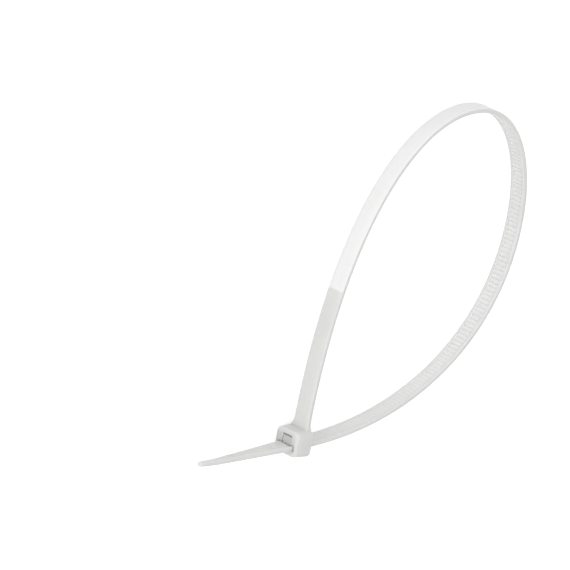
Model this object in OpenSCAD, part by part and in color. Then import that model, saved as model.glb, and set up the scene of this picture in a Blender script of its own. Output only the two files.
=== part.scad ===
// Moulded cable tie, pulled closed into a wide loop and lying on its side.
// One piece: a head with a slot and a pawl, a strap with a toothed inner face, and a tapered tail.
// X runs across the loop, Y from the head to the far end of the loop, Z up along the strap's width.
// The origin is under the middle of the whole outline, on the surface that the head's side lies on.

/* [Strap] */
// Width of the strap
strap_w = 4.8; // [4.4:0.1:5.2]
// Thickness of the strap
strap_t = 1.3; // [1.1:0.05:1.6]
// Rounding of the strap's four long edges
strap_edge_r = 0.3; // [0.1:0.05:0.45]
// Length of smooth strap between the head and the first tooth
smooth_l = 37; // [20:0.5:60]

/* [Loop] */
// From the head to the far end of the loop, at the strap's middle
loop_reach = 80; // [70:0.5:100]
// From the strap's root to the widest point of the loop, at the strap's middle
loop_breadth = 69.5; // [62:0.5:90]
// How far across from the root the far end lies
far_end_x = 42; // [36:0.2:50]
// How far from the head the widest point lies
widest_y = 45.5; // [38:0.5:52]
// Stiffness of the curve where the strap leaves the head
root_pull = 56.5; // [46:0.5:64]
// Stiffness of the curve on the way into the far end
far_pull_in = 20.5; // [16:0.5:25]
// Stiffness of the curve on the way out of the far end
far_pull_out = 16.8; // [14:0.2:22]
// Stiffness of the curve on the way into the widest point
widest_pull_in = 18.6; // [15:0.2:23]
// Stiffness of the curve on the way out of the widest point
widest_pull_out = 28.5; // [23:0.5:33]
// Stiffness of the curve where the strap comes back to the head
return_pull = 44; // [36:0.5:52]

/* [Teeth] */
// Distance from tooth to tooth
tooth_pitch = 1.2; // [1:0.05:1.6]
// Depth of the gullets below the strap's inner face
tooth_h = 0.5; // [0.35:0.05:0.6]
// How far the tooth crests lie below the side rails
crest_drop = 0.08; // [0.05:0.01:0.15]
// Length of a tooth's steep face along the strap
steep_l = 0.1; // [0.05:0.01:0.2]
// Length of a tooth's flat crest along the strap
crest_l = 0.15; // [0.1:0.05:0.3]
// Width of the toothed band between the side rails
tooth_band_w = 3; // [2.9:0.1:3.2]
// Length of the slope that leads down to the first gullet
tooth_lead_l = 2; // [1:0.1:3]

/* [Head] */
// Size of the head along the strap's width
head_w = 7.6; // [7:0.1:8.4]
// Size of the head along the strap's root, at the face where the strap enters
head_l = 7.4; // [7.2:0.1:9]
// How much shorter the head is at the face where the strap comes out
head_taper = 0.7; // [0:0.1:1.2]
// Size of the head along the slot
head_d = 6; // [5.5:0.1:7]
// How far the head's entry face stands out past the strap's inner face
head_proud = 0.5; // [0.2:0.05:0.7]
// Rounding of the head's far corners, seen along the slot
head_corner_r = 1.8; // [1:0.1:2.4]
// Rounding of the head's corners beside the strap, seen along the slot
head_shoulder_r = 1.6; // [0.8:0.1:2]
// Rounding of the head's edges, seen along the strap's width
head_edge_r = 0.8; // [0.4:0.1:1.1]
// From the head's strap face to the middle of the strap in the slot
slot_drop = 4.4; // [4:0.1:4.8]
// Gap on each side of the strap's width in the slot
slot_side_gap = 0.3; // [0.2:0.05:0.4]
// Gap between the strap's smooth face and the slot
slot_floor_gap = 0.12; // [0.08:0.02:0.25]
// Gap between the strap's side rails and the slot, beside the pawl
slot_roof_gap = 0.2; // [0.15:0.05:0.4]
// Wall between the strap's root and the slot
root_wall = 1.2; // [1:0.05:1.4]
// Widening of the slot's mouth where the strap enters
mouth_flare = 0.35; // [0.2:0.05:0.5]
// Length over which the strap widens into the head
neck_l = 2; // [1.5:0.1:4]
// Growth of the strap on each side of its width at the head
neck_flare_w = 0.5; // [0.3:0.05:0.8]
// Growth of the strap's outer face at the head
neck_flare_t = 0.3; // [0.1:0.05:0.8]

/* [Pawl] */
// Width of the pawl, which works between the strap's side rails
pawl_w = 2.7; // [1.8:0.1:2.7]
// From the head's entry face to the pawl's hinge
pawl_inset = 1; // [0.7:0.1:1.2]
// Thickness of the pawl at its hinge
pawl_hinge_t = 0.8; // [0.6:0.05:1]
// From the pawl's toothed end to the head's exit face
pawl_end_inset = 0.2; // [0.1:0.1:1.2]
// Thickness of the pawl at its toothed end
pawl_end_t = 2; // [0.9:0.05:2.05]
// Length of the pawl's smooth slope ahead of its teeth
pawl_lead_l = 1.3; // [1:0.1:1.6]
// Gap between the pawl's teeth and the strap's teeth
pawl_gap = 0.1; // [0.08:0.01:0.15]
// Gap on each side of the pawl in its pocket
pawl_side_gap = 0.2; // [0.15:0.05:0.6]

/* [Tail] */
// Length of the tail beyond the head
tail_l = 32; // [28:1:60]
// Width of the tail at its tip
tip_w = 1.5; // [1.2:0.1:3]
// Thickness of the tail at its tip
tip_t = 1; // [0.8:0.05:1.1]
// Length of the upturned tip
tip_l = 6; // [4:0.5:9]
// Angle of the upturned tip
tip_angle = 3; // [0:1:15]
// Distance from grip rib to grip rib on the tail
rib_pitch = 1.5; // [1.2:0.1:2]
// Height of the grip ribs
rib_h = 0.2; // [0.1:0.02:0.25]
// Width of the ribbed band on the tail
rib_band_w = 1.4; // [1:0.1:1.6]

/* [Hidden] */
nylon = "ivory";

// Depth by which the strap's root is sunk into the head
root_sink = 0.8;
// Points along each quarter of the loop
quarter_steps = 48;
// Distance between the rings that carry the strap's section
ring_step = 3;
// Rings along the neck
neck_steps = 4;
// Turn between the rings round the tip's corners
tip_turn = 30;
// Facets in a full circle
round_fn = 48;
// Step over which the strap's direction is read
heading_step = 0.6;
// Teeth run on this far past the head
tooth_overrun = 3;
// Clear length of tail left smooth before and after the ribs
rib_margin = 5;
// Depth of the rib crests below the tail's faces
rib_crest_drop = 0.03;
// Rounding of the tip, seen on its broad face
tip_r = 0.4;
// How far cutting shapes reach past what they cut
over = 0.6;

entry_x = strap_t / 2 + head_proud;
exit_x = entry_x - head_d;
slot_y = -slot_drop;
floor_y = slot_y - strap_t / 2 - slot_floor_gap;
pocket_y = -root_wall;

// A cubic curve from p to q that leaves along a and arrives along b
function bezier(p, a, b, q, t) =
    pow(1 - t, 3) * p + 3 * pow(1 - t, 2) * t * (p + a)
    + 3 * (1 - t) * pow(t, 2) * (q - b) + pow(t, 3) * q;

function quarter(p, a, b, q) =
    [for (i = [1:quarter_steps]) bezier(p, a, b, q, i / quarter_steps)];

far_end = [far_end_x, loop_reach];
widest = [loop_breadth, widest_y];
slot_entry = [entry_x, slot_y];
tip_bend = [exit_x - tail_l + tip_l, slot_y];
tip_end = tip_bend + tip_l * [-cos(tip_angle), sin(tip_angle)];
// Slope of the head's far end, and the lowest point that its rounding leaves there
head_slope = atan(head_taper / head_d);
head_low = head_edge_r * (tan(head_slope) + 1 / cos(head_slope) - 1) - head_l;
// The middle of the outline, seen along the strap's width
middle_x = (tip_end.x + loop_breadth + strap_t / 2) / 2;
middle_y = (loop_reach + strap_t / 2 + head_low) / 2;

// The strap's middle line, from inside the head, round the loop, through the slot and out to the tip
route = concat(
    [[0, -root_sink], [0, 0]],
    quarter([0, 0], [0, root_pull], [far_pull_in, 0], far_end),
    quarter(far_end, [far_pull_out, 0], [0, -widest_pull_in], widest),
    quarter(widest, [0, -widest_pull_out], [-return_pull, 0], slot_entry),
    [tip_bend, tip_end]);

// Length along the middle line at each of its points, counted from the head's strap face
route_s = [for (i = 0, s = -root_sink; i < len(route);
    i = i + 1, s = i < len(route) ? s + norm(route[i] - route[i - 1]) : s) s];
route_x = [for (i = [0:len(route) - 1]) [route_s[i], route[i].x]];
route_y = [for (i = [0:len(route) - 1]) [route_s[i], route[i].y]];
entry_s = route_s[1 + 3 * quarter_steps];
exit_s = entry_s + head_d;
end_s = route_s[len(route) - 1];
bend_s = end_s - tip_l;

function at(s) = [lookup(s, route_x), lookup(s, route_y)];
function heading(s) =
    let (d = at(s + heading_step) - at(s - heading_step)) d / norm(d);
// Direction from the strap's middle towards the inside of the loop
function inward(s) = let (h = heading(s)) [h.y, -h.x];
function beside(s, q) = at(s) + q * inward(s);

// 0 before a, 1 after b, straight in between
function ramp(s, a, b) = max(0, min(1, (s - a) / (b - a)));
function mix(a, b, t) = a + (b - a) * t;
function neck_part(s) = pow(1 - ramp(s, 0, neck_l), 2);
function tip_part(s) = let (u = max(0, s - end_s + tip_r)) tip_r - sqrt(max(0, tip_r * tip_r - u * u));
function width_at(s) =
    mix(strap_w, tip_w, ramp(s, exit_s, end_s)) + 2 * neck_flare_w * neck_part(s) - 2 * tip_part(s);
function inner_t(s) = mix(strap_t, tip_t, ramp(s, exit_s, end_s)) / 2;
function outer_t(s) = inner_t(s) + neck_flare_t * neck_part(s);

// The strap's section: a flat bar with three points round each long edge
function edge_r(s) = min(strap_edge_r, 0.35 * width_at(s));
function corner(q, z, sq, sz, r) =
    let (cut = r * (1 - cos(45)))
    [[q, z - sz * r], [q - sq * cut, z - sz * cut], [q - sq * r, z]];
function turned(c) = [c[2], c[1], c[0]];
function section(s) =
    let (i = inner_t(s), o = outer_t(s), w = width_at(s) / 2, r = edge_r(s))
    concat(corner(i, w, 1, 1, r), turned(corner(-o, w, -1, 1, r)),
        corner(-o, -w, -1, -1, r), turned(corner(i, -w, 1, -1, r)));
function ring(s) =
    [for (p = section(s)) let (c = beside(s, p.x)) [c.x, c.y, p.y]];

neck_rings = [-root_sink, for (i = [0:neck_steps]) neck_l * i / neck_steps];
loop_rings = floor((entry_s - neck_l) / ring_step);
tail_rings = concat(
    [entry_s, exit_s, bend_s - heading_step, bend_s, bend_s + heading_step],
    [for (a = [0:tip_turn:90]) end_s - tip_r + tip_r * sin(a)]);
ring_s = concat(neck_rings,
    [for (i = [1:loop_rings - 1]) mix(neck_l, entry_s, i / loop_rings)], tail_rings);

// A closed skin over a list of rings that have the same number of points
module skin(rings) {
    m = len(rings);
    n = len(rings[0]);
    walls = [for (i = [0:m - 2], j = [0:n - 1]) let (k = (j + 1) % n)
        [i * n + j, i * n + k, (i + 1) * n + k, (i + 1) * n + j]];
    first = [for (j = [n - 1:-1:0]) j];
    last = [for (j = [0:n - 1]) (m - 1) * n + j];
    polyhedron([for (r = rings, p = r) p], concat([first], walls, [last]), convexity = 10);
}

first_tooth_s = smooth_l;
teeth = floor((exit_s + tooth_overrun - first_tooth_s) / tooth_pitch);
first_rib_s = exit_s + rib_margin;
ribs = floor((bend_s - rib_margin - first_rib_s) / rib_pitch);
last_rib_s = first_rib_s + ribs * rib_pitch;

// Tooth profile of count teeth from tooth number from on, grown by grow, as points on the loop's inside
function tooth_line(from, count, grow) =
    [for (k = [from:from + count - 1]) let (s = first_tooth_s + k * tooth_pitch)
        each [
            beside(s - grow, strap_t / 2 - tooth_h + grow),
            beside(s + steep_l - grow, strap_t / 2 - crest_drop + grow),
            beside(s + steep_l + crest_l, strap_t / 2 - crest_drop + grow)]];

// Cuts the gullets between the teeth into the strap's inner face
module gullets() {
    stations = [for (k = [0:teeth]) first_tooth_s + k * tooth_pitch];
    outline = concat(
        [beside(first_tooth_s - tooth_lead_l, strap_t / 2 + over)],
        tooth_line(0, teeth, 0),
        [beside(stations[teeth], strap_t / 2 - tooth_h)],
        [for (k = [teeth:-1:1]) beside(stations[k], strap_t / 2 + over)]);
    translate([0, 0, -tooth_band_w / 2])
        linear_extrude(tooth_band_w)
            polygon(outline);
}

// Grip ribs: shallow grooves across the tail, on the inner face for side 1 and the outer for side -1
module rib_grooves(side) {
    face = [for (k = [0:2 * ribs]) let (s = first_rib_s + k * rib_pitch / 2)
        beside(s, side * (inner_t(s) - (k % 2 == 0 ? rib_h : rib_crest_drop)))];
    outline = concat(
        [beside(first_rib_s, side * strap_t)], face, [beside(last_rib_s, side * strap_t)]);
    translate([0, 0, -rib_band_w / 2])
        linear_extrude(rib_band_w)
            polygon(outline);
}

module strap() {
    difference() {
        skin([for (s = ring_s) ring(s)]);
        gullets();
        for (side = [1, -1]) rib_grooves(side);
    }
}

// A convex outline with round corners, from the place and the rounding of each corner in turn
module rounded_outline(corners, radii) {
    n = len(corners);
    fits = [for (i = [0:n - 1])
        let (p = corners[i], r = radii[i],
            a = corners[(i + n - 1) % n] - p, b = corners[(i + 1) % n] - p,
            u = a / norm(a), v = b / norm(b), half = acos(u * v) / 2)
        [p + u * r / tan(half), p + v * r / tan(half), p + (u + v) / norm(u + v) * r / sin(half)]];
    polygon([for (f = fits) each [f[0], f[1]]]);
    for (i = [0:n - 1]) translate(fits[i][2]) circle(radii[i], $fn = round_fn);
}

// The head's block: its outlines seen along the width, along the slot and along the root
module head_block() {
    edge = [for (i = [0:3]) head_edge_r];
    side = head_w / 2;
    intersection() {
        translate([0, 0, -side])
            linear_extrude(head_w)
                rounded_outline(
                    [[exit_x, 0], [entry_x, 0], [entry_x, -head_l], [exit_x, head_taper - head_l]], edge);
        translate([exit_x, 0, 0])
            rotate([90, 0, 90])
                linear_extrude(head_d)
                    rounded_outline(
                        [[-head_l, -side], [0, -side], [0, side], [-head_l, side]],
                        [head_corner_r, head_shoulder_r, head_shoulder_r, head_corner_r]);
        rotate([90, 0, 0])
            linear_extrude(head_l)
                rounded_outline(
                    [[exit_x, -side], [entry_x, -side], [entry_x, side], [exit_x, side]], edge);
    }
}

// The slot through the head, flared where the strap enters, and the pawl's narrower pocket beside it
module slot() {
    slot_w = strap_w + 2 * slot_side_gap;
    pocket_w = pawl_w + 2 * pawl_side_gap;
    roof_y = slot_y + strap_t / 2 + slot_roof_gap;
    outline = [
        [exit_x - over, floor_y],
        [entry_x - mouth_flare, floor_y],
        [entry_x + over, floor_y - mouth_flare - over],
        [entry_x + over, roof_y + mouth_flare + over],
        [entry_x - mouth_flare, roof_y],
        [exit_x - over, roof_y]];
    translate([0, 0, -slot_w / 2])
        linear_extrude(slot_w)
            polygon(outline);
    translate([exit_x - over, slot_y, -pocket_w / 2])
        cube([head_d + 2 * over, pocket_y - slot_y, pocket_w]);
}

// The pawl: a tongue hinged on the root wall, with teeth that match the strap's
module pawl() {
    hinge_x = entry_x - pawl_inset;
    end_x = exit_x + pawl_end_inset;
    gullet_y = slot_y + strap_t / 2 - tooth_h;
    hinge_y = pocket_y - pawl_hinge_t / 2;
    blank = [
        [hinge_x, pocket_y + over],
        [hinge_x, hinge_y],
        [hinge_x - pawl_lead_l, gullet_y],
        [end_x, gullet_y],
        [end_x, gullet_y + tooth_h + pawl_end_t],
        [hinge_x - pawl_hinge_t, hinge_y],
        [hinge_x - pawl_hinge_t, pocket_y + over]];
    from = floor((entry_s - first_tooth_s) / tooth_pitch) - 2;
    count = ceil(head_d / tooth_pitch) + 4;
    last_s = first_tooth_s + (from + count) * tooth_pitch;
    strap_side = concat(
        [beside(first_tooth_s + from * tooth_pitch - over, -strap_t / 2)],
        tooth_line(from, count, pawl_gap),
        [beside(last_s, -strap_t / 2)]);
    translate([0, 0, -pawl_w / 2])
        linear_extrude(pawl_w)
            difference() {
                polygon(blank);
                polygon(strap_side);
            }
}

module head() {
    difference() {
        head_block();
        slot();
    }
    pawl();
}

module cable_tie() {
    color(nylon)
        translate([-middle_x, -middle_y, head_w / 2]) {
            strap();
            head();
        }
}

cable_tie();
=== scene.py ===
"""A moulded cable tie, pulled closed into a wide loop and lying on its side.

The strap is modelled straight, as it comes out of the mould. Geometry Nodes then cut its teeth and
grip ribs and bend it along the loop. The head is a rounded block with a slot and a pawl, and all of
it is joined into one closed piece of natural nylon.
"""

import math

import bmesh
import bpy
from bpy.props import FloatProperty, FloatVectorProperty, PointerProperty
from mathutils import Matrix, Quaternion, Vector
from mathutils.geometry import interpolate_bezier


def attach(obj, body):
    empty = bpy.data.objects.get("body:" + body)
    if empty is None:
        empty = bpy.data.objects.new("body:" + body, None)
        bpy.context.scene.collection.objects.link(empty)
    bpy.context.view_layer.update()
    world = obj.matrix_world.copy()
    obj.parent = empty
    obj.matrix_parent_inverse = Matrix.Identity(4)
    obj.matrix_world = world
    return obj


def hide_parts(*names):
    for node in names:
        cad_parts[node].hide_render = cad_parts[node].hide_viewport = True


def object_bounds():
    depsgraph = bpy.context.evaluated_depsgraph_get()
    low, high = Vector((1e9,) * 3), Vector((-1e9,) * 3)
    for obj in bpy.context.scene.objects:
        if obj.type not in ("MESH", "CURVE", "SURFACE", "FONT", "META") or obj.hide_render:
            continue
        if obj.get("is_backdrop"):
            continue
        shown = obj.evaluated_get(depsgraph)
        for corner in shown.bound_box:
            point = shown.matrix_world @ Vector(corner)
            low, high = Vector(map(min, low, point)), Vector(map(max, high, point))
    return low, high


bl_info = {
    "name": "Cable Tie",
    "version": (1, 0, 0),
    "blender": (4, 5, 0),
    "location": "3D View > Sidebar > Cable Tie",
    "description": "Builds a moulded cable tie that is closed into a loop",
    "category": "Add Mesh",
}

MM = 0.001
CAD_NODE = "cable_tie"
# Blender evaluates the loop's curve in this many steps between two of its points
ROUTE_STEPS = 128
# Facets along a quarter turn of each rounding
STRAP_EDGE_STEPS = 5
TIP_STEPS = 8
HEAD_CORNER_STEPS = 10
HEAD_EDGE_STEPS = 8
SLOT_CORNER_STEPS = 5
SLOT_LIP_STEPS = 3
# How far this file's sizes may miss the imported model's box
FIT_TOLERANCE = 0.3 * MM
# Places closer than this count as the same
HAIR = 0.001 * MM
# How far cutting shapes reach past what they cut
OVER = 0.6 * MM
# A face looks straight along an axis if its normal has more than this share of it
SQUARE_ON = 0.99
# Faces that meet at a sharper turn than this have a crease between them
CREASE = math.radians(32)
# How strongly nylon bends light
NYLON_IOR = 1.53
# Attributes of the points: where teeth and ribs are cut, where light and shade are painted, how it
# flowed
TOOTH_FACE = "tooth_face"
GRIP_FACE = "grip_face"
PAINTED_GLOW = "painted_glow"
PAINTED_SIDE_SHADE = "painted_side_shade"
FLOW = "flow"

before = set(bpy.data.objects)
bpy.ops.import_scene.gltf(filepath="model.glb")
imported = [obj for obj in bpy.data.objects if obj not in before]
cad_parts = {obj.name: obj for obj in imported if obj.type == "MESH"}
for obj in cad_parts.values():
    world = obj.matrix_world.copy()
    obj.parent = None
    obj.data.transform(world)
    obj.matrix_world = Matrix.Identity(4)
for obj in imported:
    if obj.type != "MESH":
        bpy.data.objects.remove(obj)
cad_low, cad_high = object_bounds()


def length(name, description, millimetres):
    """A size that a user can change, given in millimetres and kept in metres."""
    return FloatProperty(name=name, description=description, default=millimetres * MM,
                         min=0.0, precision=5, unit="LENGTH")


def angle(name, description, degrees):
    """An angle that a user can change, given in degrees and kept in radians."""
    return FloatProperty(name=name, description=description, default=math.radians(degrees),
                         subtype="ANGLE", unit="ROTATION")


def colour(name, description, rgb):
    """A colour that a user can change."""
    return FloatVectorProperty(name=name, description=description, default=rgb,
                               size=3, min=0.0, max=1.0, subtype="COLOR")


def share(name, description, value, highest=1.0):
    """A plain number that a user can change."""
    return FloatProperty(name=name, description=description, default=value, min=0.0, max=highest)


class StrapSizes(bpy.types.PropertyGroup):
    width: length("Width", "Width of the strap", 4.8)
    thickness: length("Thickness", "Thickness of the strap", 1.3)
    edge_radius: length("Edge Radius", "Rounding of the strap's long edges", 0.3)
    smooth_length: length("Smooth Length", "Smooth strap between the head and the first tooth", 37.0)
    root_sink: length("Root Sink", "Depth by which the strap's root is sunk into the head", 0.8)
    neck_length: length("Neck Length", "Length over which the strap widens into the head", 2.0)
    neck_flare_wide: length("Neck Flare, Wide", "Growth of each side of the strap at the head", 0.5)
    neck_flare_thick: length("Neck Flare, Thick", "Growth of the outer face at the head", 0.3)


class LoopSizes(bpy.types.PropertyGroup):
    reach: length("Reach", "From the head to the far end of the loop", 80.0)
    breadth: length("Breadth", "From the strap's root to the loop's widest point", 69.5)
    far_end_across: length("Far End Across", "How far across from the root the far end lies", 42.0)
    widest_along: length("Widest Along", "How far from the head the widest point lies", 45.5)
    root_pull: length("Root Pull", "Stiffness of the curve where it leaves the head", 56.5)
    far_pull_in: length("Far Pull In", "Stiffness on the way into the far end", 20.5)
    far_pull_out: length("Far Pull Out", "Stiffness on the way out of the far end", 16.8)
    widest_pull_in: length("Widest Pull In", "Stiffness on the way into the widest point", 18.6)
    widest_pull_out: length("Widest Pull Out", "Stiffness on the way out of the widest point", 28.5)
    return_pull: length("Return Pull", "Stiffness where the strap comes back to the head", 44.0)


class ToothSizes(bpy.types.PropertyGroup):
    pitch: length("Pitch", "Distance from tooth to tooth", 1.2)
    depth: length("Depth", "Depth of the gullets below the strap's inner face", 0.5)
    crest_drop: length("Crest Drop", "How far the crests lie below the side rails", 0.08)
    steep_length: length("Steep Length", "Length of a tooth's steep face", 0.1)
    crest_length: length("Crest Length", "Length of a tooth's flat crest", 0.15)
    band_width: length("Band Width", "Width of the toothed band between the rails", 3.0)
    lead_length: length("Lead Length", "Length of the slope down to the first gullet", 2.0)
    overrun: length("Overrun", "How far the teeth run on past the head", 3.0)


class HeadSizes(bpy.types.PropertyGroup):
    width: length("Width", "Size of the head along the strap's width", 7.6)
    length: length("Length", "Size of the head along the root, where the strap enters", 7.4)
    taper: length("Taper", "How much shorter the head is where the strap comes out", 0.7)
    depth: length("Depth", "Size of the head along the slot", 6.0)
    proud: length("Proud", "How far the entry face stands out past the strap", 0.5)
    far_corner: length("Far Corner", "Rounding of the far corners, seen along the slot", 1.8)
    shoulder: length("Shoulder", "Rounding of the corners beside the strap", 1.6)
    edge: length("Edge", "Rounding of the edges round the slot's two faces", 0.8)
    slot_drop: length("Slot Drop", "From the strap face to the middle of the strap in the slot", 4.4)
    slot_side_gap: length("Slot Side Gap", "Gap on each side of the strap in the slot", 0.3)
    slot_floor_gap: length("Slot Floor Gap", "Gap between the smooth face and the slot", 0.12)
    slot_roof_gap: length("Slot Roof Gap", "Gap between the side rails and the slot", 0.2)
    slot_corner: length("Slot Corner", "Rounding of the slot's corners", 0.35)
    slot_lip: length("Slot Lip", "Rounding of the slot's two rims", 0.12)
    root_wall: length("Root Wall", "Wall between the strap's root and the slot", 1.2)
    mouth_flare: length("Mouth Flare", "Widening of the slot where the strap enters", 0.35)


class PawlSizes(bpy.types.PropertyGroup):
    width: length("Width", "Width of the pawl, between the strap's rails", 2.7)
    inset: length("Inset", "From the entry face to the pawl's hinge", 1.0)
    hinge: length("Hinge", "Thickness of the pawl at its hinge", 0.8)
    end_inset: length("End Inset", "From the pawl's toothed end to the exit face", 0.2)
    end: length("End", "Thickness of the pawl at its toothed end", 2.0)
    lead: length("Lead", "Length of the smooth slope ahead of the pawl's teeth", 1.3)
    gap: length("Gap", "Gap between the pawl's teeth and the strap's teeth", 0.1)
    side_gap: length("Side Gap", "Gap on each side of the pawl in its pocket", 0.2)


class TailSizes(bpy.types.PropertyGroup):
    length: length("Length", "Length of the tail beyond the head", 32.0)
    tip_width: length("Tip Width", "Width of the tail at its tip", 1.5)
    tip_thickness: length("Tip Thickness", "Thickness of the tail at its tip", 1.0)
    tip_length: length("Tip Length", "Length of the upturned tip", 6.0)
    tip_angle: angle("Tip Angle", "Angle of the upturned tip", 3.0)
    tip_radius: length("Tip Radius", "Rounding of the tip's corners", 0.4)
    rib_pitch: length("Rib Pitch", "Distance from grip rib to grip rib", 1.5)
    rib_depth: length("Rib Depth", "Depth of the grooves between the ribs", 0.2)
    rib_crest_drop: length("Rib Crest Drop", "Depth of the rib crests below the tail's faces", 0.03)
    rib_band: length("Rib Band", "Width of the ribbed band", 1.4)
    rib_margin: length("Rib Margin", "Smooth tail before and after the ribs", 5.0)


class NylonLook(bpy.types.PropertyGroup):
    # The first colour is the nylon's own. The second is painted light: a glow that stands in for light
    # passing through the strap behind the teeth, laid on in the shares below.
    thick: colour("Thick Colour", "Colour of the nylon where it is thick", (0.725, 0.727, 0.719))
    painted_glow: colour("Painted Glow Colour", "Colour of the outer face behind the teeth", (0.88, 0.88, 0.875))
    painted_glow_on_teeth: share("Painted Glow On Teeth", "Share of the thin colour on the toothed band", 0.56)
    painted_glow_on_edges: share("Painted Glow On Edges", "Share of the thin colour on rails and edges", 0.1)
    # Painted glow inside the slot and on the pawl, which lightens these recesses
    painted_glow_in_slot: share("Painted Glow In Slot", "Share of the thin colour inside the slot and on the pawl", 0.9)
    # Painted shade on the strap's narrow sides
    painted_edge_shade: share("Painted Edge Shade", "How much darker the strap's narrow sides are", 0.08)
    mottle: share("Mottle", "How much the colour varies from place to place", 0.035)
    streaks: share("Streaks", "How much the flow marks along the strap show", 0.02)
    roughness: share("Roughness", "Roughness of the satin surface", 0.56)
    glow: share("Glow", "Share of the light that passes below the surface", 0.8)
    glow_depth: length("Glow Depth", "How far the light spreads below the surface", 2.2)
    grain: length("Grain", "Size of the mould's fine grain", 0.22)
    grain_depth: length("Grain Depth", "Depth of the mould's fine grain", 0.004)


class StageSetup(bpy.types.PropertyGroup):
    azimuth: angle("Azimuth", "Direction of the camera, seen from above", 155.449)
    elevation: angle("Elevation", "Height of the camera above the floor, as an angle", 36.448)
    roll: angle("Roll", "Tip of the camera about its line of sight", 115.909)
    distance: length("Distance", "From the camera to the point it looks at", 2000.0)
    lens: FloatProperty(name="Lens", description="Focal length", default=503.88, unit="CAMERA")
    target: FloatVectorProperty(name="Target", description="Point that the camera looks at", size=3,
                                default=(-14.388 * MM, -4.536 * MM, -11.771 * MM), subtype="XYZ",
                                unit="LENGTH", precision=5)
    key_azimuth: angle("Key Azimuth", "Direction of the large soft lamp, seen from above", 180.0)
    fill_azimuth: angle("Fill Azimuth", "Direction of the second soft lamp, seen from above", 90.0)
    lamp_elevation: angle("Lamp Elevation", "Height of both lamps above the floor", 25.0)
    lamp_size: length("Lamp Size", "Side of each square lamp", 700.0)
    sky: share("Sky", "Strength of the even light from all round", 0.73)
    key: share("Key", "Strength of the large soft lamp", 0.34)
    fill: share("Fill", "Strength of the second soft lamp", 0.14)
    floor_lift: share("Floor Lift", "Brightness added to the floor as the camera sees it", 0.5)


class CableTieSettings(bpy.types.PropertyGroup):
    strap: PointerProperty(name="Strap", description="Sizes of the strap", type=StrapSizes)
    loop: PointerProperty(name="Loop", description="Shape of the closed loop", type=LoopSizes)
    teeth: PointerProperty(name="Teeth", description="Sizes of the teeth", type=ToothSizes)
    head: PointerProperty(name="Head", description="Sizes of the head and its slot", type=HeadSizes)
    pawl: PointerProperty(name="Pawl", description="Sizes of the pawl", type=PawlSizes)
    tail: PointerProperty(name="Tail", description="Sizes of the tail and its grip", type=TailSizes)
    nylon: PointerProperty(name="Nylon", description="Look of the nylon", type=NylonLook)
    stage: PointerProperty(name="Stage", description="Camera and light", type=StageSetup)


def spread(start, end, step):
    """Evenly spaced values from start up to end, without end itself, no further apart than step."""
    count = max(1, math.ceil((end - start) / step - 1e-6))
    return [start + (end - start) * i / count for i in range(count)]


def ramp(value, start, end):
    """0 before start, 1 after end, and a straight line in between."""
    return min(1.0, max(0.0, (value - start) / (end - start)))


def mix(a, b, t):
    """a where t is 0, b where t is 1, and evenly between them."""
    return a + (b - a) * t


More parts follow.
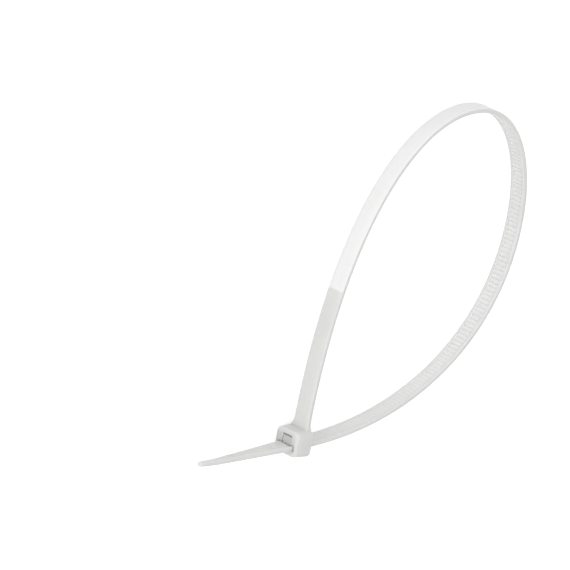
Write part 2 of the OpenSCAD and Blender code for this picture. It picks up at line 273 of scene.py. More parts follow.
class Plan:
    """Places worked out from the sizes.

    They are in the head's own frame: the strap's root at the origin, X across the loop, Y from the
    head to the far end of the loop, Z up along the strap's width, with the strap's middle at 0.
    """

    def __init__(self, tie):
        self.tie = tie
        strap, loop, head, tail = tie.strap, tie.loop, tie.head, tie.tail
        self.entry_x = strap.thickness / 2 + head.proud
        self.exit_x = self.entry_x - head.depth
        self.slot_y = -head.slot_drop
        self.floor_y = self.slot_y - strap.thickness / 2 - head.slot_floor_gap
        self.roof_y = self.slot_y + strap.thickness / 2 + head.slot_roof_gap
        self.pocket_y = -head.root_wall

        across, along = Vector((1, 0, 0)), Vector((0, 1, 0))
        sunk = Vector((0, -strap.root_sink, 0))
        root = Vector((0, 0, 0))
        far_end = Vector((loop.far_end_across, loop.reach, 0))
        widest = Vector((loop.breadth, loop.widest_along, 0))
        entry = Vector((self.entry_x, self.slot_y, 0))
        tip_bend = Vector((self.exit_x - tail.length + tail.tip_length, self.slot_y, 0))
        turned = Vector((-math.cos(tail.tip_angle), math.sin(tail.tip_angle), 0))
        tip = tip_bend + tail.tip_length * turned
        # Each point of the route with its two handles
        self.route = [
            (sunk, sunk, sunk + (root - sunk) / 3),
            (root, root - (root - sunk) / 3, root + loop.root_pull * along),
            (far_end, far_end - loop.far_pull_in * across, far_end + loop.far_pull_out * across),
            (widest, widest + loop.widest_pull_in * along, widest - loop.widest_pull_out * along),
            (entry, entry + loop.return_pull * across, entry + (tip_bend - entry) / 3),
            (tip_bend, tip_bend - (tip_bend - entry) / 3, tip_bend + (tip - tip_bend) / 3),
            (tip, tip - (tip - tip_bend) / 3, tip)]

        # Lengths along the strap, counted from the head's strap face
        self.entry_s = sum(self.span_length(i) for i in (1, 2, 3))
        self.exit_s = self.entry_s + head.depth
        self.end_s = self.exit_s + tail.length
        self.first_tooth = strap.smooth_length
        toothed = self.exit_s + tie.teeth.overrun - self.first_tooth
        self.tooth_count = math.floor(toothed / tie.teeth.pitch)
        self.last_tooth = self.first_tooth + self.tooth_count * tie.teeth.pitch
        self.first_rib = self.exit_s + tail.rib_margin
        ribbed = self.end_s - tail.tip_length - tail.rib_margin - self.first_rib
        self.rib_count = math.floor(ribbed / tail.rib_pitch)
        self.last_rib = self.first_rib + self.rib_count * tail.rib_pitch

        # From the head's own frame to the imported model's frame
        slope = math.atan(head.taper / head.depth)
        head_low = head.edge * (math.tan(slope) + 1 / math.cos(slope) - 1) - head.length
        self.shift = Vector((
            -(tip.x + loop.breadth + strap.thickness / 2) / 2,
            -(loop.reach + strap.thickness / 2 + head_low) / 2,
            head.width / 2))

    def span_length(self, i):
        """Length of the route from its point i to the next."""
        (start, _, leave), (end, arrive, _) = self.route[i], self.route[i + 1]
        points = interpolate_bezier(start, leave, arrive, end, ROUTE_STEPS + 1)
        return sum((b - a).length for a, b in zip(points, points[1:]))

    def neck(self, s):
        return (1 - ramp(s, 0, self.tie.strap.neck_length)) ** 2

    def tail_share(self, s):
        return ramp(s, self.exit_s, self.end_s)

    def half_width(self, s):
        strap, tail = self.tie.strap, self.tie.tail
        into_tip = max(0.0, s - self.end_s + tail.tip_radius)
        rounded = tail.tip_radius - math.sqrt(max(0.0, tail.tip_radius ** 2 - into_tip ** 2))
        plain = mix(strap.width, tail.tip_width, self.tail_share(s)) / 2
        return plain + strap.neck_flare_wide * self.neck(s) - rounded

    def inner_half(self, s):
        return mix(self.tie.strap.thickness, self.tie.tail.tip_thickness, self.tail_share(s)) / 2

    def outer_half(self, s):
        return self.inner_half(s) + self.tie.strap.neck_flare_thick * self.neck(s)

    def stations(self):
        """Lengths along the strap at which it has a ring of points, from the sunk root to the tip."""
        strap, teeth, tail = self.tie.strap, self.tie.teeth, self.tie.tail
        coarse, fine = 1.0 * MM, 0.2 * MM
        # Length of the steep walls that end the teeth and the ribs
        wall = 0.04 * MM
        lead = self.first_tooth - teeth.lead_length
        places = [-strap.root_sink]
        places += spread(0, strap.neck_length, fine)
        places += spread(strap.neck_length, lead, coarse)
        places += spread(lead, self.first_tooth, fine)
        corners = (0, teeth.steep_length, teeth.steep_length + teeth.crest_length)
        for k in range(self.tooth_count):
            places += [self.first_tooth + k * teeth.pitch + c for c in corners]
        places += [self.last_tooth]
        places += spread(self.last_tooth + wall, self.first_rib - wall, coarse)
        places += [self.first_rib - wall]
        places += spread(self.first_rib, self.last_rib, tail.rib_pitch / 2)
        places += [self.last_rib]
        places += spread(self.last_rib + wall, self.end_s - tail.tip_radius, coarse)
        turns = [math.pi / 2 * i / TIP_STEPS for i in range(TIP_STEPS + 1)]
        places += [self.end_s - tail.tip_radius + tail.tip_radius * math.sin(a) for a in turns]
        return places

    def tooth_points(self, first, count, grow):
        """Corners of the strap's teeth inside the slot, grown by grow, as places in the head."""
        strap, teeth = self.tie.strap, self.tie.teeth
        root_y = self.slot_y + strap.thickness / 2 - teeth.depth + grow
        crest_y = self.slot_y + strap.thickness / 2 - teeth.crest_drop + grow
        points = []
        for k in range(first, first + count):
            x = self.entry_x - (self.first_tooth + k * teeth.pitch - self.entry_s)
            points += [(x + grow, root_y),
                       (x - teeth.steep_length + grow, crest_y),
                       (x - teeth.steep_length - teeth.crest_length, crest_y)]
        return points


def new_object(name, data):
    """Puts a mesh, a curve, a lamp or a camera into the scene."""
    piece = bpy.data.objects.new(name, data)
    bpy.context.scene.collection.objects.link(piece)
    return piece


def finish_mesh(bm, name):
    """Turns a bmesh into an object whose faces point outwards."""
    bmesh.ops.recalc_face_normals(bm, faces=bm.faces)
    mesh = bpy.data.meshes.new(name)
    bm.to_mesh(mesh)
    bm.free()
    return new_object(name, mesh)


def find_object(name):
    """A piece that an earlier operator made."""
    piece = bpy.data.objects.get(name)
    if piece is None:
        raise RuntimeError(f"{name} has to be made first")
    return piece


def apply_modifiers(piece):
    """Replaces an object's mesh by what its modifiers make of it."""
    depsgraph = bpy.context.evaluated_depsgraph_get()
    depsgraph.update()
    mesh = bpy.data.meshes.new_from_object(piece.evaluated_get(depsgraph))
    piece.modifiers.clear()
    piece.data = mesh
    return piece


def combine(piece, other, operation):
    """Joins other to piece, or cuts it away, and deletes other."""
    modifier = piece.modifiers.new("Combine", "BOOLEAN")
    modifier.object = other
    modifier.operation = operation
    modifier.solver = "EXACT"
    apply_modifiers(piece)
    bpy.data.objects.remove(other)
    return piece


def add_numbers(mesh, name, values):
    """Keeps a number for each point of a mesh."""
    mesh.attributes.new(name, "FLOAT", "POINT").data.foreach_set("value", values)


def merge_doubled_points(piece):
    """Merges the points that a Boolean left on top of each other."""
    doubled = 0.0001 * MM
    bm = bmesh.new()
    bm.from_mesh(piece.data)
    bmesh.ops.remove_doubles(bm, verts=bm.verts, dist=doubled)
    bm.to_mesh(piece.data)
    bm.free()


def prism(outline, height, name):
    """A straight block with a plan outline, as high above the strap's middle as below it."""
    bm = bmesh.new()
    low = [bm.verts.new((x, y, -height / 2)) for x, y in outline]
    high = [bm.verts.new((x, y, height / 2)) for x, y in outline]
    bm.faces.new(low)
    bm.faces.new(high)
    for i in range(len(outline)):
        j = (i + 1) % len(outline)
        bm.faces.new((low[i], low[j], high[j], high[i]))
    return finish_mesh(bm, name)


def corner_arc(centre_y, centre_z, radius, start, steps):
    """A quarter of a circle from the angle start on, as points across and up the strap's section."""
    return [(centre_y + radius * math.cos(start + math.pi / 2 * i / steps),
             centre_z + radius * math.sin(start + math.pi / 2 * i / steps))
            for i in range(steps + 1)]


def strap_section(plan, s):
    """The strap's section at s, as (y, z, on the tooth band, on the grip band) for each point.

    The inner, toothed face is at negative y. The points go round anticlockwise, seen from the tip.
    """
    tie = plan.tie
    inner, outer, side = plan.inner_half(s), plan.outer_half(s), plan.half_width(s)
    # Near the tip the strap is too narrow for the full rounding and the full bands
    radius = min(tie.strap.edge_radius, 0.7 * side)
    flat = side - radius
    widest_band = 0.78 * flat
    # The bands' long walls lean by this much to either side
    draft = min(0.04 * MM, 0.1 * flat)
    toward_ribs = ramp(s, plan.last_tooth, plan.first_rib)
    band = min(mix(tie.teeth.band_width, tie.tail.rib_band, toward_ribs) / 2, widest_band)
    grip = min(tie.tail.rib_band / 2, widest_band)
    quarter = math.pi / 2
    points = [(-inner, -band + draft, 1, 1), (-inner, -band - draft, 0, 0)]
    for y, z, start in ((radius - inner, -flat, 2 * quarter), (outer - radius, -flat, 3 * quarter)):
        points += [(a, b, 0, 0) for a, b in corner_arc(y, z, radius, start, STRAP_EDGE_STEPS)]
    points += [(outer, -grip - draft, 0, 0), (outer, -grip + draft, 0, 1),
               (outer, grip - draft, 0, 1), (outer, grip + draft, 0, 0)]
    for y, z, start in ((outer - radius, flat, 0), (radius - inner, flat, quarter)):
        points += [(a, b, 0, 0) for a, b in corner_arc(y, z, radius, start, STRAP_EDGE_STEPS)]
    points += [(-inner, band + draft, 0, 0), (-inner, band - draft, 1, 1)]
    return points


def painted_glow_share(plan, s, ring):
    """How much painted glow each point has, standing in for light that passes through the strap
    behind the teeth: most on the outer face, less on the toothed band, where the gullets' shade is
    painted, and least at the rails and edges.
    """
    look, radius = plan.tie.nylon, plan.tie.strap.edge_radius
    fade = 0.4 * MM
    zone = (ramp(s, plan.first_tooth - fade, plan.first_tooth)
            * (1 - ramp(s, plan.exit_s, plan.last_tooth)))
    outer = plan.outer_half(s)
    for y, _, on_band, _ in ring:
        edge_or_outer = mix(look.painted_glow_on_edges, 1.0, ramp(y, outer - radius, outer))
        yield zone * mix(edge_or_outer, look.painted_glow_on_teeth, on_band)


def painted_side_shade(plan, s, ring):
    """How far each point lies on the narrow sides, which get painted shade that darkens them against
    the broad faces.
    """
    side = plan.half_width(s)
    for _, z, _, _ in ring:
        yield ramp(abs(z), side - plan.tie.strap.edge_radius, side)


def straight_strap(plan):
    """The strap as it is moulded, straight along X, with attributes for its teeth, its flow marks and
    the glow and shade painted into its colour.
    """
    stations = plan.stations()
    rings = [strap_section(plan, s) for s in stations]
    count = len(rings[0])
    verts = [(s, y, z) for s, ring in zip(stations, rings) for y, z, _, _ in ring]
    faces = [tuple(range(count))[::-1]]
    for i in range(len(rings) - 1):
        for j in range(count):
            k = (j + 1) % count
            faces.append((i * count + j, i * count + k, (i + 1) * count + k, (i + 1) * count + j))
    faces.append(tuple((len(rings) - 1) * count + j for j in range(count)))
    mesh = bpy.data.meshes.new("strap")
    mesh.from_pydata(verts, [], faces)

    add_numbers(mesh, TOOTH_FACE, [p[2] for ring in rings for p in ring])
    add_numbers(mesh, GRIP_FACE, [p[3] for ring in rings for p in ring])
    # Painted light: a glow behind the teeth, and shade on the narrow sides
    for name, tone in ((PAINTED_GLOW, painted_glow_share), (PAINTED_SIDE_SHADE, painted_side_shade)):
        add_numbers(mesh, name, [value for s, ring in zip(stations, rings)
                                 for value in tone(plan, s, ring)])
    girth = 2 * (plan.tie.strap.width + plan.tie.strap.thickness)
    flow = [c for s in stations for j in range(count) for c in (s, girth * j / count, 0.0)]
    mesh.attributes.new(FLOW, "FLOAT_VECTOR", "POINT").data.foreach_set("vector", flow)
    mesh.update()
    return new_object("strap", mesh)


def route_curve(plan):
    """The middle line of the bent strap, as a Bezier curve in the head's own frame."""
    curve = bpy.data.curves.new("route", "CURVE")
    curve.dimensions = "3D"
    curve.resolution_u = ROUTE_STEPS
    spline = curve.splines.new("BEZIER")
    spline.bezier_points.add(len(plan.route) - 1)
    for point, (place, arrive, leave) in zip(spline.bezier_points, plan.route):
        point.handle_left_type = "FREE"
        point.handle_right_type = "FREE"
        point.co = place
        point.handle_left = arrive
        point.handle_right = leave
    return new_object("route", curve)


class Tree:
    """Adds nodes to a node tree and links them as it goes."""

    def __init__(self, tree):
        self.tree = tree

    def add(self, kind, inputs=None, **settings):
        node = self.tree.nodes.new(kind)
        for name, value in settings.items():
            setattr(node, name, value)
        for key, value in (inputs or {}).items():
            if isinstance(value, bpy.types.NodeSocket):
                self.tree.links.new(value, node.inputs[key])
            else:
                node.inputs[key].default_value = value
        return node

    def math(self, operation, a, b=0.0, c=0.0):
        return self.add("ShaderNodeMath", {0: a, 1: b, 2: c}, operation=operation).outputs[0]

    def vector(self, operation, a, b=(0.0, 0.0, 0.0)):
        return self.add("ShaderNodeVectorMath", {0: a, 1: b}, operation=operation).outputs[0]

    def scaled(self, vector, scale):
        node = self.add("ShaderNodeVectorMath", {0: vector, "Scale": scale}, operation="SCALE")
        return node.outputs[0]

    def map(self, value, start, end, low, high):
        inputs = {"Value": value, "From Min": start, "From Max": end, "To Min": low, "To Max": high}
        return self.add("ShaderNodeMapRange", inputs).outputs["Result"]

    def between(self, noise, low, high):
        """Stretches a noise, which seldom leaves 0.3 to 0.7, over the range from low to high."""
        return self.map(noise, 0.3, 0.7, low, high)

    def attribute(self, name):
        node = self.add("GeometryNodeInputNamedAttribute", {"Name": name}, data_type="FLOAT")
        return node.outputs["Attribute"]


BEND_INPUTS = (
    ("Route", "NodeSocketObject"), ("Sunk Root", "NodeSocketFloat"),
    ("First Tooth", "NodeSocketFloat"), ("Last Tooth", "NodeSocketFloat"),
    ("Tooth Pitch", "NodeSocketFloat"), ("Tooth Depth", "NodeSocketFloat"),
    ("Crest Drop", "NodeSocketFloat"), ("Steep Length", "NodeSocketFloat"),
    ("Crest Length", "NodeSocketFloat"), ("Lead Length", "NodeSocketFloat"),
    ("First Rib", "NodeSocketFloat"), ("Last Rib", "NodeSocketFloat"),
    ("Rib Pitch", "NodeSocketFloat"), ("Rib Depth", "NodeSocketFloat"),
    ("Rib Crest Drop", "NodeSocketFloat"), ("Material", "NodeSocketMaterial"))


def bend_tree():
    """Geometry Nodes that cut the teeth and the grip ribs into a straight strap and bend it."""
    group = bpy.data.node_groups.new("Toothed Strap On A Route", "GeometryNodeTree")
    group.is_modifier = True
    group.interface.new_socket(name="Geometry", in_out="INPUT", socket_type="NodeSocketGeometry")
    for name, kind in BEND_INPUTS:
        group.interface.new_socket(name=name, in_out="INPUT", socket_type=kind)
    group.interface.new_socket(name="Geometry", in_out="OUTPUT", socket_type="NodeSocketGeometry")
    t = Tree(group)
    given = t.add("NodeGroupInput").outputs
    place = t.add("ShaderNodeSeparateXYZ", {0: t.add("GeometryNodeInputPosition").outputs[0]}).outputs
    s, outward, up = place["X"], place["Y"], place["Z"]

    def within(start, end):
        after = t.math("GREATER_THAN", s, t.math("SUBTRACT", start, HAIR))
        return t.math("MULTIPLY", after, t.math("LESS_THAN", s, t.math("ADD", end, HAIR)))

    # A tooth rises steeply from the gullet to its crest, and slopes back down to the next gullet
    past_first = t.math("SUBTRACT", s, given["First Tooth"])
    phase = t.math("FLOORED_MODULO", past_first, given["Tooth Pitch"])
    rise = t.map(phase, 0.0, given["Steep Length"], given["Tooth Depth"], given["Crest Drop"])
    crest_end = t.math("ADD", given["Steep Length"], given["Crest Length"])
    fall = t.map(phase, crest_end, given["Tooth Pitch"], given["Crest Drop"], given["Tooth Depth"])
    tooth = t.math("MULTIPLY", t.math("MAXIMUM", rise, fall),
                   within(given["First Tooth"], given["Last Tooth"]))
    lead_start = t.math("SUBTRACT", given["First Tooth"], given["Lead Length"])
    lead = t.map(s, lead_start, given["First Tooth"], 0.0, given["Tooth Depth"])
    before = t.math("LESS_THAN", s, t.math("SUBTRACT", given["First Tooth"], HAIR))
    band_depth = t.math("ADD", tooth, t.math("MULTIPLY", lead, before))

    # Grip ribs are an even zigzag
    rib_share = t.math("DIVIDE", t.math("SUBTRACT", s, given["First Rib"]), given["Rib Pitch"])
    zigzag = t.math("PINGPONG", rib_share, 0.5)
    rib = t.map(zigzag, 0.0, 0.5, given["Rib Depth"], given["Rib Crest Drop"])
    rib_depth = t.math("MULTIPLY", rib, within(given["First Rib"], given["Last Rib"]))

    cut = t.math("ADD", t.math("MULTIPLY", band_depth, t.attribute(TOOTH_FACE)),
                 t.math("MULTIPLY", rib_depth, t.attribute(GRIP_FACE)))
    cut_outward = t.math("SUBTRACT", outward, t.math("MULTIPLY", cut, t.math("SIGN", outward)))

    route = t.add("GeometryNodeObjectInfo", {"Object": given["Route"]}).outputs["Geometry"]
    along = t.math("ADD", s, given["Sunk Root"])
    sample = t.add("GeometryNodeSampleCurve", {"Curves": route, "Length": along}, mode="LENGTH")
    out_of_loop = t.vector("CROSS_PRODUCT", (0.0, 0.0, 1.0), sample.outputs["Tangent"])
    sideways = t.scaled(t.vector("NORMALIZE", out_of_loop), cut_outward)
    upwards = t.add("ShaderNodeCombineXYZ", {"Z": up}).outputs[0]
    bent = t.vector("ADD", t.vector("ADD", sample.outputs["Position"], sideways), upwards)

    moved = t.add("GeometryNodeSetPosition", {"Geometry": given["Geometry"], "Position": bent})
    realized = t.add("GeometryNodeRealizeInstances", {"Geometry": moved.outputs[0]})
    painted = t.add("GeometryNodeSetMaterial",
                    {"Geometry": realized.outputs[0], "Material": given["Material"]})
    t.add("NodeGroupOutput", {"Geometry": painted.outputs[0]})
    return group


def run_tree(piece, group, values):
    """Puts a Geometry Nodes tree on a piece, sets its named inputs and applies it."""
    modifier = piece.modifiers.new(group.name, "NODES")
    modifier.node_group = group
    sockets = {item.name: item.identifier for item in group.interface.items_tree
               if item.in_out == "INPUT"}
    for name, value in values.items():
        modifier[sockets[name]] = value
    return apply_modifiers(piece)


def block_with_round_corners(plan):
    """The head's block, rounded seen along the slot first and then round its two slot faces."""
    head = plan.tie.head
    bm = bmesh.new()
    side = head.width / 2
    rings = []
    for x, far_y in ((plan.exit_x, head.taper - head.length), (plan.entry_x, -head.length)):
        rings.append([bm.verts.new(p) for p in ((x, far_y, -side), (x, 0, -side), (x, 0, side),
                                                (x, far_y, side))])
    bm.faces.new(rings[0])
    bm.faces.new(rings[1])
    for i in range(4):
        j = (i + 1) % 4
        bm.faces.new((rings[0][i], rings[0][j], rings[1][j], rings[1][i]))
    bmesh.ops.recalc_face_normals(bm, faces=bm.faces)

    def along_slot(edge):
        return abs(edge.verts[0].co.x - edge.verts[1].co.x) > head.depth / 2

    def round_edges(edges, radius, segments):
        bmesh.ops.bevel(bm, geom=edges, offset=radius, offset_type="OFFSET", segments=segments,
                        profile=0.5, affect="EDGES")

    shoulders = [e for e in bm.edges if along_slot(e) and e.verts[0].co.y > -head.length / 2]
    round_edges(shoulders, head.shoulder, HEAD_CORNER_STEPS)
    far = [e for e in bm.edges if along_slot(e)
           and max(v.co.y for v in e.verts) < -head.length / 2
           and len([f for f in e.link_faces if abs(f.normal.z) > SQUARE_ON]) == 1]
    round_edges(far, head.far_corner, HEAD_CORNER_STEPS)
    rims = [e for e in bm.edges if any(abs(f.normal.x) > SQUARE_ON for f in e.link_faces)]
    round_edges(rims, head.edge, HEAD_EDGE_STEPS)
    return finish_mesh(bm, "head")


def channel(outline, width, corner, name):
    """A prism whose long edges are rounded, to cut a slot with round corners."""
    cutter = prism(outline, width, name)
    bm = bmesh.new()
    bm.from_mesh(cutter.data)
    edges = [e for e in bm.edges if abs(e.verts[0].co.z - e.verts[1].co.z) < HAIR
             and abs(e.verts[0].co.x - e.verts[1].co.x) > corner]
    bmesh.ops.bevel(bm, geom=edges, offset=corner, offset_type="OFFSET",
                    segments=SLOT_CORNER_STEPS, profile=0.5, affect="EDGES")
    # A Boolean loses slivers at the flare's corners unless the cutter is made of triangles
    bmesh.ops.triangulate(bm, faces=bm.faces)
    bm.to_mesh(cutter.data)
    bm.free()
    return cutter


def slot_cutters(plan):
    """The spaces of the slot, with its flared mouth, and of the pawl's pocket beside it."""
    head, pawl = plan.tie.head, plan.tie.pawl
    outside_entry, outside_exit = plan.entry_x + OVER, plan.exit_x - OVER
    flare = head.mouth_flare
    flare_end = plan.entry_x - flare
    slot = [(outside_exit, plan.floor_y), (flare_end, plan.floor_y),
            (outside_entry, plan.floor_y - flare - OVER),
            (outside_entry, plan.roof_y + flare + OVER),
            (flare_end, plan.roof_y), (outside_exit, plan.roof_y)]
    pocket = [(outside_exit, plan.slot_y), (outside_entry, plan.slot_y),
              (outside_entry, plan.pocket_y), (outside_exit, plan.pocket_y)]
    return [channel(slot, plan.tie.strap.width + 2 * head.slot_side_gap, head.slot_corner, "slot"),
            channel(pocket, pawl.width + 2 * pawl.side_gap, head.slot_corner, "pocket")]


def soften_slot_rims(head_piece, plan):
    """Rounds the two rims where the slot meets the head's faces."""
    bm = bmesh.new()
    bm.from_mesh(head_piece.data)
    same_plane, least_turn = math.radians(0.5), math.radians(40)
    bmesh.ops.dissolve_limit(bm, angle_limit=same_plane, verts=bm.verts, edges=bm.edges)
    rims = []
    for edge in bm.edges:
        if len(edge.link_faces) != 2:
            continue
        one, other = (f.normal for f in edge.link_faces)
        at_face = max(abs(one.x), abs(other.x)) > SQUARE_ON
        if at_face and one.angle(other) > least_turn:
            rims.append(edge)
    bmesh.ops.bevel(bm, geom=rims, offset=plan.tie.head.slot_lip, offset_type="OFFSET",
                    segments=SLOT_LIP_STEPS, profile=0.5, affect="EDGES", clamp_overlap=True)
    bm.to_mesh(head_piece.data)
    bm.free()


def paint_glow_on_slot_walls(head_piece, plan):
    """Paints the glow colour on the walls of the slot and of the pocket: painted light, standing in
    for light that passes through the nylon into them.
    """
    head = plan.tie.head
    half = plan.tie.strap.width / 2 + head.slot_side_gap

    def inside(place):
        return (plan.exit_x + HAIR < place.x < plan.entry_x - HAIR and abs(place.z) < half + HAIR
                and plan.floor_y - head.mouth_flare - HAIR < place.y < plan.pocket_y + HAIR)

    painted_glow = plan.tie.nylon.painted_glow_in_slot
    add_numbers(head_piece.data, PAINTED_GLOW, [painted_glow * inside(v.co) for v in head_piece.data.vertices])


def pawl_piece(plan):
    """The pawl: a tongue hinged on the root wall, with teeth that match the strap's."""
    tie, pawl = plan.tie, plan.tie.pawl
    hinge_x = plan.entry_x - pawl.inset
    end_x = plan.exit_x + pawl.end_inset
    gullet_y = plan.slot_y + tie.strap.thickness / 2 - tie.teeth.depth
    hinge_y = plan.pocket_y - pawl.hinge / 2
    blank = [(hinge_x, plan.pocket_y + OVER), (hinge_x, hinge_y), (hinge_x - pawl.lead, gullet_y),
             (end_x, gullet_y), (end_x, gullet_y + tie.teeth.depth + pawl.end),
             (hinge_x - pawl.hinge, hinge_y), (hinge_x - pawl.hinge, plan.pocket_y + OVER)]
    # The cut runs on by this many teeth at both ends of the head
    spare = 2
    first = math.floor((plan.entry_s - plan.first_tooth) / tie.teeth.pitch) - spare
    count = math.ceil(tie.head.depth / tie.teeth.pitch) + 2 * spare
    teeth = plan.tooth_points(first, count, pawl.gap)
    below = plan.slot_y - tie.strap.thickness
    strap_side = [(teeth[0][0] + OVER, below)] + teeth + [(teeth[-1][0] - OVER, below)]
    piece = combine(prism(blank, pawl.width, "pawl"), prism(strap_side, 2 * pawl.width, "teeth"),
                    "DIFFERENCE")
    # Painted glow on the pawl, as on the slot walls
    add_numbers(piece.data, PAINTED_GLOW, [tie.nylon.painted_glow_in_slot] * len(piece.data.vertices))
    return piece


def nylon_material(look):
    """Natural nylon: satin, slightly translucent, with a painted glow standing in for light that passes
    through the strap behind the teeth and into the slot, and painted shade on the narrow sides.
    """
    material = bpy.data.materials.new("natural_nylon")
    material.use_nodes = True
    t = Tree(material.node_tree)
    shader = material.node_tree.nodes["Principled BSDF"]
    place = t.add("ShaderNodeTexCoord").outputs["Object"]
    painted_glow = t.add("ShaderNodeAttribute", attribute_name=PAINTED_GLOW).outputs["Fac"]
    # Where painted shade darkens the narrow sides
    side_shade_mask = t.add("ShaderNodeAttribute", attribute_name=PAINTED_SIDE_SHADE).outputs["Fac"]
    flow = t.add("ShaderNodeAttribute", attribute_name=FLOW).outputs["Vector"]

    # Painted glow: the glow colour is mixed into the nylon's own colour
    body = t.add("ShaderNodeMix", {"Factor": painted_glow, "A": (*look.thick, 1), "B": (*look.painted_glow, 1)},
                 data_type="RGBA").outputs["Result"]
    clouds_per_metre = 90.0
    # Flow marks are long along the strap and narrow across it
    marks_per_metre = (60.0, 2600.0, 1.0)
    cloudy = t.add("ShaderNodeTexNoise",
                   {"Vector": place, "Scale": clouds_per_metre, "Detail": 3.0})
    stretched = t.add("ShaderNodeMapping", {"Vector": flow, "Scale": marks_per_metre})
    lines = t.add("ShaderNodeTexNoise",
                  {"Vector": stretched.outputs[0], "Scale": 1.0, "Detail": 2.0})
    shade = t.math("ADD", t.between(cloudy.outputs["Fac"], 1 - look.mottle, 1.0),
                   t.between(lines.outputs["Fac"], -look.streaks, 0.0))
    # Painted shade on the narrow sides
    shade = t.math("SUBTRACT", shade, t.math("MULTIPLY", side_shade_mask, look.painted_edge_shade))
    material.node_tree.links.new(t.scaled(body, shade), shader.inputs["Base Color"])

    grain = t.add("ShaderNodeTexNoise",
                  {"Vector": place, "Scale": 1.0 / look.grain, "Detail": 2.0, "Roughness": 0.6})
    # The grain leaves some spots a little smoother than the rest and some rougher
    rough = t.between(grain.outputs["Fac"], look.roughness - 0.06, look.roughness + 0.08)
    material.node_tree.links.new(rough, shader.inputs["Roughness"])
    bump = t.add("ShaderNodeBump", {"Height": grain.outputs["Fac"], "Strength": 0.6,
                                    "Distance": look.grain_depth})
    material.node_tree.links.new(bump.outputs[0], shader.inputs["Normal"])

    shader.inputs["IOR"].default_value = NYLON_IOR
    shader.inputs["Subsurface Weight"].default_value = look.glow
    # Blue light spreads a little less far than red
    shader.inputs["Subsurface Radius"].default_value = (1.0, 0.98, 0.94)
    shader.inputs["Subsurface Scale"].default_value = look.glow_depth
    return material


def background_rays(t):
    """1 for the rays that should see a white background, and 0 for those that light the object."""
    path = t.add("ShaderNodeLightPath").outputs
    seen = t.math("MAXIMUM", path["Is Camera Ray"], path["Is Glossy Ray"])
    return t.math("MAXIMUM", seen, path["Is Transmission Ray"])


def floor_material(setup):
    """A white floor that keeps the shadow and is lifted to white where the camera sees it."""
    material = bpy.data.materials.new("white_floor")
    material.use_nodes = True
    t = Tree(material.node_tree)
    t.tree.nodes.clear()
    place = t.add("ShaderNodeTexCoord").outputs["Object"]
    clouds_per_metre, darkest, lightest = 40.0, 0.79, 0.81
    cloudy = t.add("ShaderNodeTexNoise",
                   {"Vector": place, "Scale": clouds_per_metre, "Detail": 2.0})
    tone = t.between(cloudy.outputs["Fac"], darkest, lightest)
    grey = t.add("ShaderNodeCombineColor", {0: tone, 1: tone, 2: tone})
    paint = t.add("ShaderNodeBsdfDiffuse", {"Color": grey.outputs[0]})
    lifted = t.math("MULTIPLY", background_rays(t), setup.floor_lift)
    lift = t.add("ShaderNodeEmission", {"Strength": lifted})
    both = t.add("ShaderNodeAddShader", {0: paint.outputs[0], 1: lift.outputs[0]})
    t.add("ShaderNodeOutputMaterial", {"Surface": both.outputs[0]})
    return material


def white_world(setup):
    """Even light from all round, behind a background that the camera sees as white."""
    world = bpy.data.worlds.new("white_studio")
    world.use_nodes = True
    t = Tree(world.node_tree)
    t.tree.nodes.clear()
    strength = t.map(background_rays(t), 0.0, 1.0, setup.sky, 1.0)
    sky = t.add("ShaderNodeBackground", {"Color": (1, 1, 1, 1), "Strength": strength})
    t.add("ShaderNodeOutputWorld", {"Surface": sky.outputs[0]})
    bpy.context.scene.world = world


def direction(azimuth, elevation):
    """The unit vector towards an azimuth and an elevation."""
    return Vector((math.cos(elevation) * math.cos(azimuth),
                   math.cos(elevation) * math.sin(azimuth), math.sin(elevation)))


def soft_lamp(name, azimuth, elevation, strength, size):
    """A square lamp at 1 m from the tie. At strength 1 it lights a face turned to it as a sky of 1."""
    distance = 1.0
    lamp = bpy.data.lights.new(name, "AREA")
    lamp.shape = "SQUARE"
    lamp.size = size
    lamp.energy = strength * (math.pi * distance) ** 2
    piece = new_object(name, lamp)
    towards = direction(azimuth, elevation)
    piece.location = distance * towards
    piece.rotation_euler = towards.to_track_quat("Z", "Y").to_euler()


class TIE_OT_strap(bpy.types.Operator):
    """Make the toothed strap, bent along the loop, with its tail"""

    bl_idname = "cable_tie.strap"
    bl_label = "Make Strap"

    def execute(self, context):
        tie = context.scene.cable_tie
        plan = Plan(tie)
        route = route_curve(plan)
        nylon = nylon_material(tie.nylon)
        teeth, tail = tie.teeth, tie.tail
        run_tree(straight_strap(plan), bend_tree(), {
            "Route": route, "Sunk Root": tie.strap.root_sink,
            "First Tooth": plan.first_tooth, "Last Tooth": plan.last_tooth,
            "Tooth Pitch": teeth.pitch, "Tooth Depth": teeth.depth, "Crest Drop": teeth.crest_drop,
            "Steep Length": teeth.steep_length, "Crest Length": teeth.crest_length,
            "Lead Length": teeth.lead_length, "First Rib": plan.first_rib,
            "Last Rib": plan.last_rib, "Rib Pitch": tail.rib_pitch, "Rib Depth": tail.rib_depth,
            "Rib Crest Drop": tail.rib_crest_drop, "Material": nylon})
        bpy.data.objects.remove(route)
        return {"FINISHED"}


class TIE_OT_head(bpy.types.Operator):
    """Make the head's rounded block with its slot"""

    bl_idname = "cable_tie.head"
    bl_label = "Make Head"

    def execute(self, context):
        plan = Plan(context.scene.cable_tie)
        head = block_with_round_corners(plan)
        for cutter in slot_cutters(plan):
            combine(head, cutter, "DIFFERENCE")
        soften_slot_rims(head, plan)
        paint_glow_on_slot_walls(head, plan)
        return {"FINISHED"}


class TIE_OT_pawl(bpy.types.Operator):
    """Make the pawl that locks the strap in the slot"""

    bl_idname = "cable_tie.pawl"
    bl_label = "Make Pawl"

    def execute(self, context):
        pawl_piece(Plan(context.scene.cable_tie))
        return {"FINISHED"}


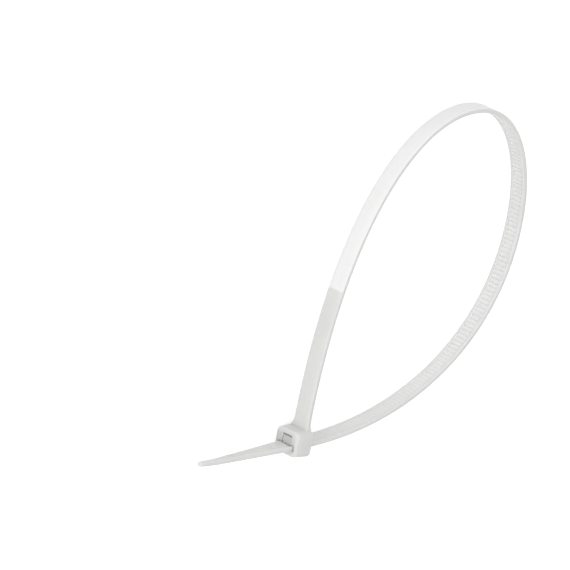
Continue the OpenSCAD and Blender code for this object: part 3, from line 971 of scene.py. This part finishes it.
class TIE_OT_join(bpy.types.Operator):
    """Join strap, head and pawl into one moulded piece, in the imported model's place"""

    bl_idname = "cable_tie.join"
    bl_label = "Join Into One Piece"

    def execute(self, context):
        plan = Plan(context.scene.cable_tie)
        piece = find_object("strap")
        combine(piece, find_object("head"), "UNION")
        combine(piece, find_object("pawl"), "UNION")
        merge_doubled_points(piece)
        piece.name = "tie_body"
        piece.data.name = "tie_body"
        piece.data.transform(Matrix.Translation(plan.shift))
        piece.data.shade_smooth()
        piece.data.set_sharp_from_angle(angle=CREASE)
        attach(piece, "root")
        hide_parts(CAD_NODE)
        low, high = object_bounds()
        miss = max(max(abs(a - b) for a, b in zip(low, cad_low)),
                   max(abs(a - b) for a, b in zip(high, cad_high)))
        if miss > FIT_TOLERANCE:
            raise RuntimeError(f"the tie misses the packed model's box by {miss / MM:.2f} mm")
        return {"FINISHED"}


class TIE_OT_stage(bpy.types.Operator):
    """Set up the floor, the light and the camera"""

    bl_idname = "cable_tie.stage"
    bl_label = "Set Up Stage"

    def execute(self, context):
        scene = context.scene
        setup = scene.cable_tie.stage
        scene.view_settings.view_transform = "Standard"
        # The floor reaches far enough that its edges are never seen
        reach = 4.0
        corners = [(-reach, -reach, 0), (reach, -reach, 0), (reach, reach, 0), (-reach, reach, 0)]
        mesh = bpy.data.meshes.new("floor")
        mesh.from_pydata(corners, [], [(0, 1, 2, 3)])
        floor = new_object("floor", mesh)
        mesh.materials.append(floor_material(setup))
        floor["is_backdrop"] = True
        white_world(setup)
        soft_lamp("key_lamp", setup.key_azimuth, setup.lamp_elevation, setup.key, setup.lamp_size)
        soft_lamp("fill_lamp", setup.fill_azimuth, setup.lamp_elevation, setup.fill, setup.lamp_size)

        lens = bpy.data.cameras.new("camera")
        lens.lens = setup.lens
        lens.sensor_fit = "HORIZONTAL"
        lens.sensor_width = 36.0
        lens.clip_end = 20.0
        camera = new_object("camera", lens)
        towards = direction(setup.azimuth, setup.elevation)
        camera.location = Vector(setup.target) + setup.distance * towards
        turn = towards.to_track_quat("Z", "Y") @ Quaternion((0, 0, 1), setup.roll)
        camera.rotation_euler = turn.to_euler()
        scene.camera = camera
        return {"FINISHED"}


class TIE_PT_panel(bpy.types.Panel):
    """Lists the steps that build the cable tie"""

    bl_idname = "TIE_PT_panel"
    bl_label = "Cable Tie"
    bl_space_type = "VIEW_3D"
    bl_region_type = "UI"
    bl_category = "Cable Tie"

    def draw(self, context):
        column = self.layout.column()
        for operator in OPERATORS:
            column.operator(operator.bl_idname)


GROUPS = (StrapSizes, LoopSizes, ToothSizes, HeadSizes, PawlSizes, TailSizes, NylonLook, StageSetup,
          CableTieSettings)
OPERATORS = (TIE_OT_strap, TIE_OT_head, TIE_OT_pawl, TIE_OT_join, TIE_OT_stage)


def register():
    for item in (*GROUPS, *OPERATORS, TIE_PT_panel):
        bpy.utils.register_class(item)
    bpy.types.Scene.cable_tie = PointerProperty(
        name="Cable Tie", description="Sizes and look of the cable tie", type=CableTieSettings)


def unregister():
    del bpy.types.Scene.cable_tie
    for item in reversed((*GROUPS, *OPERATORS, TIE_PT_panel)):
        bpy.utils.unregister_class(item)


def main():
    register()
    bpy.ops.cable_tie.strap()
    bpy.ops.cable_tie.head()
    bpy.ops.cable_tie.pawl()
    bpy.ops.cable_tie.join()
    bpy.ops.cable_tie.stage()


if __name__ == "__main__":
    main()
